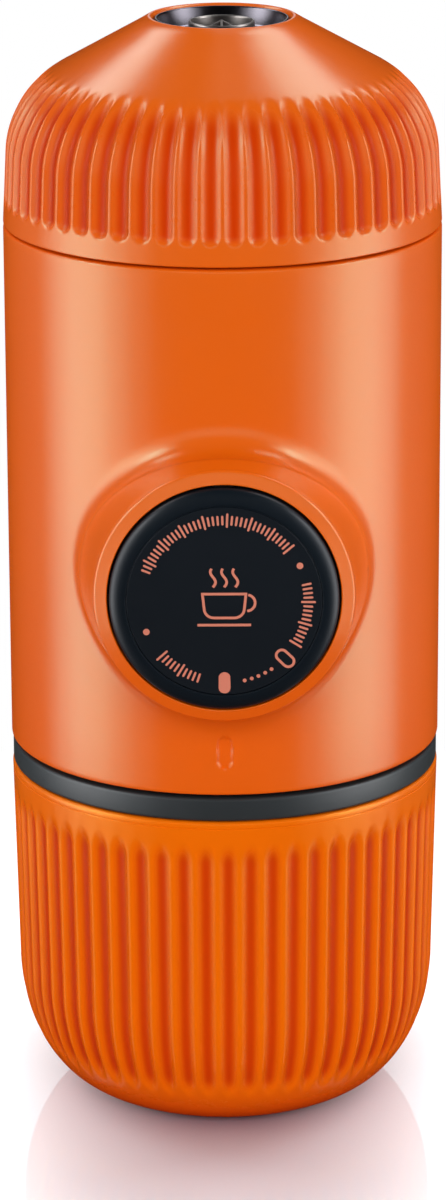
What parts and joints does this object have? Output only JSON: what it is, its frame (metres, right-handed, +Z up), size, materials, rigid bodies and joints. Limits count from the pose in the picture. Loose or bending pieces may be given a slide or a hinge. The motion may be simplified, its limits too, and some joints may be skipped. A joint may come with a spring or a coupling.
{
  "type": "handheld manual espresso maker",
  "caption": "Handheld manual espresso maker: fluted dome with the outlet on top, round body with a side pump knob, and a fluted cup over the water tank.",
  "frame": {"origin": "centre of the portable cup's flat base, on the object's vertical axis", "axes": "+Z up towards the outlet, -Y towards the pump knob"},
  "size_m": [0.0612, 0.071, 0.156],
  "materials": {
    "body_plastic": "satin, fine matte grain",
    "cup_plastic": "satin gloss",
    "slate_plastic": "matte",
    "smoke_plastic": "smoky clear",
    "knob_plastic": "satin",
    "face_plastic": "satin with copper-coloured prints",
    "black_plastic": "moulded",
    "steel": "brushed",
    "spring_steel": "polished",
    "dark_chrome": "smoked chrome",
    "silicone": "matte"
  },
  "bodies": {
    "main_body": {"main_body": "body_plastic", "tank_socket": "black_plastic", "chassis_screws": "spring_steel", "inlet_strainer": "black_plastic", "air_vent": "silicone", "pump_block": "black_plastic", "cylinder_liner": "steel", "spring_washer": "steel", "return_spring": "spring_steel", "knob_guide": "black_plastic", "brew_head": "black_plastic", "brew_head_screws": "spring_steel", "shower_screen": "steel", "screen_screw": "spring_steel", "basket_gasket": "silicone", "filter_basket": "steel", "scoop": "black_plastic", "relief_plug": "steel", "inlet_spring": "spring_steel", "outlet_spring": "spring_steel", "relief_spring": "spring_steel"},
    "lock_ring": {"lock_ring": "black_plastic"},
    "knob": {"knob_shell": "knob_plastic", "knob_face": "face_plastic", "plunger": "black_plastic", "plunger_seal": "silicone", "plunger_screw": "spring_steel"},
    "tank_seal": {"tank_seal": "silicone"},
    "tank": {"water_tank": "smoke_plastic", "tank_collar": "slate_plastic", "cup_grip_ring": "silicone"},
    "cup": {"portable_cup": "cup_plastic"},
    "head_gasket": {"head_gasket": "silicone"},
    "head": {"head_shell": "body_plastic", "portafilter": "black_plastic", "support_plate": "steel", "nozzle_bezel": "dark_chrome", "nozzle_spout": "dark_chrome"},
    "inlet_ball": {"inlet_ball": "spring_steel"},
    "outlet_ball": {"outlet_ball": "spring_steel"},
    "relief_ball": {"relief_ball": "spring_steel"}
  },
  "joints": [
    {"name": "knob_turn", "type": "hinge", "parent": "main_body", "child": "lock_ring", "pos_m": [0, -0.0358, 0.0839], "axis": [0, 1, 0], "range_deg": [0, 45]},
    {"name": "knob_slide", "type": "slide", "parent": "lock_ring", "child": "knob", "axis": [0, -1, 0], "range_m": [0, 0.015], "deforming": ["return_spring"]},
    {"name": "tank_turn", "type": "hinge", "parent": "main_body", "child": "tank_seal", "pos_m": [0, 0, 0.0604], "axis": [0, 0, -1], "range_deg": [0, 720]},
    {"name": "tank_drop", "type": "slide", "parent": "tank_seal", "child": "tank", "axis": [0, 0, -1], "range_m": [0, 0.008]},
    {"name": "cup_pull", "type": "slide", "parent": "tank", "child": "cup", "axis": [0, 0, -1], "range_m": [0, 0.046]},
    {"name": "head_turn", "type": "hinge", "parent": "main_body", "child": "head_gasket", "pos_m": [0, 0, 0.139], "axis": [0, 0, 1], "range_deg": [0, 720]},
    {"name": "head_lift", "type": "slide", "parent": "head_gasket", "child": "head", "axis": [0, 0, 1], "range_m": [0, 0.012]},
    {"name": "inlet_valve", "type": "slide", "parent": "main_body", "child": "inlet_ball", "axis": [0, 0, 1], "range_m": [0, 0.001], "stiffness_N_per_m": 20, "springref_m": -0.004, "deforming": ["inlet_spring"]},
    {"name": "outlet_valve", "type": "slide", "parent": "main_body", "child": "outlet_ball", "axis": [0, 0, 1], "range_m": [0, 0.001], "stiffness_N_per_m": 20, "springref_m": -0.004, "deforming": ["outlet_spring"]},
    {"name": "relief_valve", "type": "slide", "parent": "main_body", "child": "relief_ball", "axis": [0, 0, 1], "range_m": [0, 0.001], "stiffness_N_per_m": 20, "springref_m": -0.004, "deforming": ["relief_spring"]}
  ],
  "couplings": [
    {"joint": "tank_drop", "follows": "tank_turn", "m_per_rad": 0.0006366},
    {"joint": "head_lift", "follows": "head_turn", "m_per_rad": 0.0009549}
  ]
}
